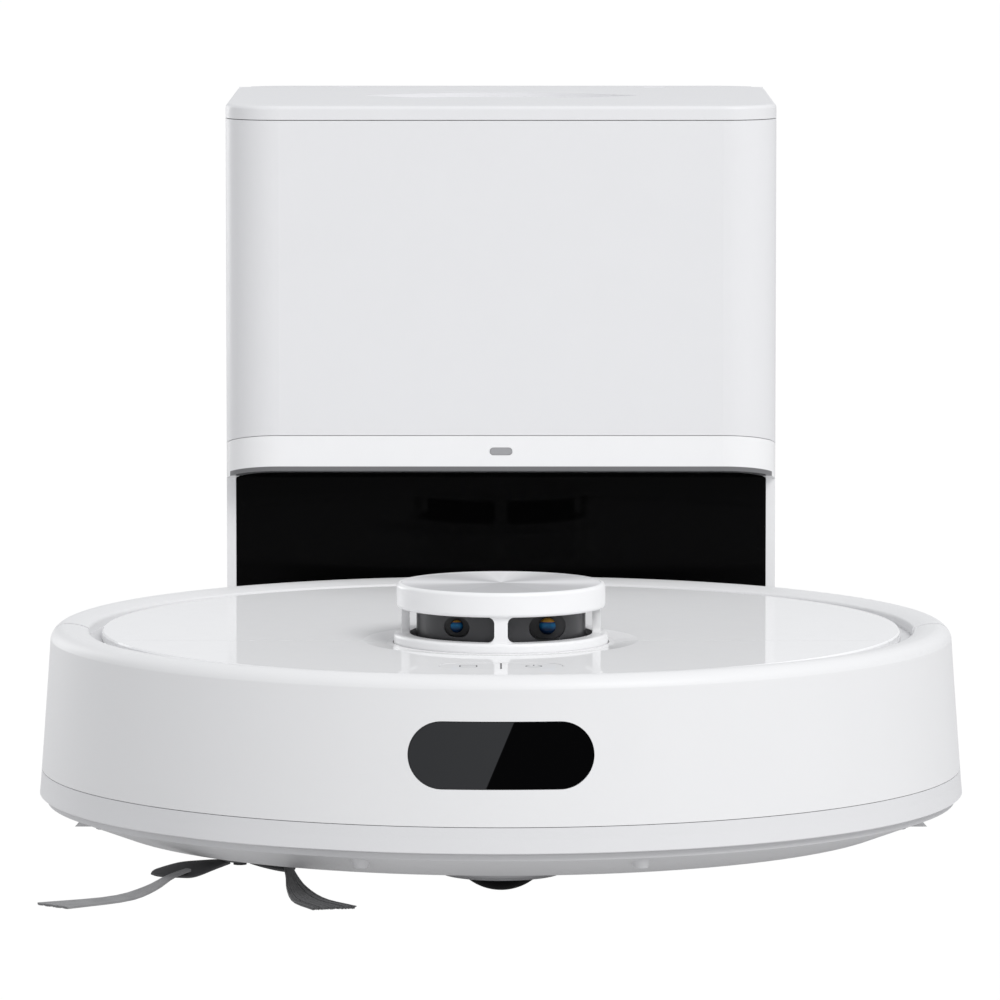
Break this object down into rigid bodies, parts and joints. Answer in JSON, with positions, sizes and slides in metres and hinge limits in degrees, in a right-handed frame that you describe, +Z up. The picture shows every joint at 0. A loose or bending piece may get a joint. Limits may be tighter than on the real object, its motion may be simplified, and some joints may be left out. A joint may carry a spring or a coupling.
{
  "type": "robot vacuum with self-emptying dock",
  "caption": "Round robot vacuum with laser turret, sprung bumper, flip-up lid, brushes and mop bracket, parked at a box-shaped self-emptying dock with a hinged lid.",
  "frame": {"origin": "middle of the footprint's box on the floor, robot in front and dock behind", "axes": "+Z up, -Y the robot's front, +Y from the robot towards the dock, +X to the right seen from the robot's front"},
  "size_m": [0.354, 0.5182, 0.276],
  "materials": {
    "white_matte": "fine matte moulded plastic",
    "white_trim": "satin moulded plastic",
    "white_gloss": "high gloss plate",
    "key_white": "gloss keys",
    "led_dark": "dark light guide",
    "window_black": "black tinted sensor window",
    "chassis_grey": "light grey moulded plastic",
    "deck_white": "satin inner deck",
    "steel": "turned steel",
    "spun_metal": "circularly brushed disc",
    "rotor_dark": "dark grey textured plastic",
    "lens_glass": "coated lens",
    "black_plastic": "black moulded plastic",
    "cover_dark": "dark grey plastic",
    "rubber_dark": "soft rubber",
    "paddle_rubber": "dark grey rubber",
    "bristle_grey": "grey nylon bristles",
    "tyre_rubber": "treaded tyre",
    "rim_grey": "grey plastic rim",
    "caster_black": "black plastic roller",
    "fork_grey": "light grey plastic",
    "bin_smoke": "smoked plastic bin",
    "filter_white": "pleated filter",
    "mop_fabric": "microfibre mop cloth",
    "contact_metal": "plated contacts",
    "dock_satin": "satin white housing",
    "dock_gloss": "glossier white lower body",
    "panel_black": "glossy black panel",
    "led_grey": "grey light window",
    "bag_paper": "non-woven dust bag"
  },
  "bodies": {
    "robot": {"chassis": "chassis_grey", "rear_shell": "white_matte", "deck": "deck_white", "top_plate_front": "white_gloss", "lid_hinge_pin": "steel", "led_bar": "led_dark", "circuit_board": "rotor_dark", "turret_base": "rotor_dark", "lidar_belt": "rubber_dark", "brush_housing": "black_plastic", "brush_cover": "cover_dark", "brush_motor": "black_plastic", "side_brush_motor": "black_plastic", "dustbin": "bin_smoke", "bin_filter": "filter_white", "fan_housing": "black_plastic", "battery": "black_plastic", "cliff_windows": "black_plastic", "chassis_screws": "steel", "caster_housing": "chassis_grey", "mop_bracket": "chassis_grey", "mop_cloth": "mop_fabric", "charging_contacts": "contact_metal"},
    "bumper": {"bumper": "white_matte", "bumper_window": "window_black", "bumper_trim": "white_trim"},
    "lid": {"flip_lid": "white_gloss"},
    "turret": {"turret_cage": "white_trim", "turret_disc": "spun_metal"},
    "rotor": {"lidar_rotor": "rotor_dark", "rotor_lenses": "lens_glass"},
    "pulley": {"lidar_pulley": "rotor_dark"},
    "home_key": {"home_key": "key_white"},
    "power_key": {"power_key": "key_white"},
    "arm_left": {"arm_left": "black_plastic"},
    "arm_right": {"arm_right": "black_plastic"},
    "wheel_left": {"rim_left": "rim_grey", "tyre_left": "tyre_rubber"},
    "wheel_right": {"rim_right": "rim_grey", "tyre_right": "tyre_rubber"},
    "caster_swivel": {"caster_fork": "fork_grey", "caster_axle": "steel"},
    "caster_wheel": {"caster_wheel": "caster_black"},
    "side_brush": {"side_brush_hub": "paddle_rubber", "side_brush_bristles": "bristle_grey"},
    "main_brush": {"main_brush": "rubber_dark"},
    "fan_impeller": {"fan_impeller": "cover_dark"},
    "dock": {"dock_housing": "dock_satin", "dock_lower_body": "dock_gloss", "dock_panel": "panel_black", "dock_led": "led_grey", "dock_hinge_pin": "steel", "suction_gasket": "rubber_dark", "dust_bag": "bag_paper", "dock_fan_housing": "black_plastic", "power_inlet": "black_plastic", "dock_feet": "rubber_dark"},
    "dock_lid": {"dock_lid": "dock_satin"},
    "dock_contacts": {"dock_contacts": "contact_metal"},
    "dock_impeller": {"dock_impeller": "cover_dark"}
  },
  "joints": [
    {"name": "bumper_press", "type": "slide", "parent": "robot", "child": "bumper", "axis": [0, 1, 0], "range_m": [0, 0.0025], "stiffness_N_per_m": 600, "springref_m": -0.002},
    {"name": "lid_hinge", "type": "hinge", "parent": "robot", "child": "lid", "pos_m": [0, 0.0659, 0.0822], "axis": [-1, 0, 0], "range_deg": [0, 75]},
    {"name": "turret_press", "type": "slide", "parent": "robot", "child": "turret", "axis": [0, 0, -1], "range_m": [0, 0.001], "stiffness_N_per_m": 1500, "springref_m": -0.001},
    {"name": "rotor_spin", "type": "hinge", "parent": "robot", "child": "rotor", "pos_m": [0, -0.1221, 0.088], "axis": [0, 0, 1], "continuous": true},
    {"name": "pulley_spin", "type": "hinge", "parent": "robot", "child": "pulley", "pos_m": [0.028, -0.1221, 0.07], "axis": [0, 0, 1], "continuous": true},
    {"name": "home_key_press", "type": "slide", "parent": "robot", "child": "home_key", "axis": [0, 0, -1], "range_m": [0, 0.0005], "stiffness_N_per_m": 800, "springref_m": -0.0005},
    {"name": "power_key_press", "type": "slide", "parent": "robot", "child": "power_key", "axis": [0, 0, -1], "range_m": [0, 0.0005], "stiffness_N_per_m": 800, "springref_m": -0.0005},
    {"name": "arm_left_drop", "type": "hinge", "parent": "robot", "child": "arm_left", "pos_m": [-0.1, -0.0361, 0.034], "axis": [1, 0, 0], "range_deg": [0, 15], "stiffness_Nm_per_rad": 0.4, "springref_deg": 34.38},
    {"name": "arm_right_drop", "type": "hinge", "parent": "robot", "child": "arm_right", "pos_m": [0.1, -0.0361, 0.034], "axis": [1, 0, 0], "range_deg": [0, 15], "stiffness_Nm_per_rad": 0.4, "springref_deg": 34.38},
    {"name": "wheel_left_spin", "type": "hinge", "parent": "arm_left", "child": "wheel_left", "pos_m": [-0.113, -0.0821, 0.036], "axis": [1, 0, 0], "continuous": true},
    {"name": "wheel_right_spin", "type": "hinge", "parent": "arm_right", "child": "wheel_right", "pos_m": [0.113, -0.0821, 0.036], "axis": [1, 0, 0], "continuous": true},
    {"name": "caster_swivel_turn", "type": "hinge", "parent": "robot", "child": "caster_swivel", "pos_m": [0, -0.2071, 0.031], "axis": [0, 0, 1], "continuous": true},
    {"name": "caster_wheel_roll", "type": "hinge", "parent": "caster_swivel", "child": "caster_wheel", "pos_m": [0, -0.2036, 0.013], "axis": [1, 0, 0], "continuous": true},
    {"name": "side_brush_spin", "type": "hinge", "parent": "robot", "child": "side_brush", "pos_m": [-0.097, -0.1841, 0.009], "axis": [0, 0, 1], "continuous": true},
    {"name": "main_brush_spin", "type": "hinge", "parent": "robot", "child": "main_brush", "pos_m": [0, -0.0821, 0.021], "axis": [1, 0, 0], "continuous": true},
    {"name": "fan_spin", "type": "hinge", "parent": "robot", "child": "fan_impeller", "pos_m": [0.096, 0.0079, 0.032], "axis": [0, 0, 1], "continuous": true},
    {"name": "dock_leave", "type": "slide", "parent": "robot", "child": "dock", "axis": [0, 1, 0], "range_m": [0, 0.3]},
    {"name": "dock_lid_hinge", "type": "hinge", "parent": "dock", "child": "dock_lid", "pos_m": [0, 0.2481, 0.27315], "axis": [-1, 0, 0], "range_deg": [0, 80]},
    {"name": "contacts_press", "type": "slide", "parent": "dock", "child": "dock_contacts", "axis": [0, 1, 0], "range_m": [0, 0.004], "stiffness_N_per_m": 300, "springref_m": -0.002},
    {"name": "dock_fan_spin", "type": "hinge", "parent": "dock", "child": "dock_impeller", "pos_m": [0.058, 0.1941, 0.045], "axis": [0, 0, 1], "continuous": true}
  ],
  "couplings": [
    {"joint": "pulley_spin", "follows": "rotor_spin", "ratio": 4.5}
  ]
}
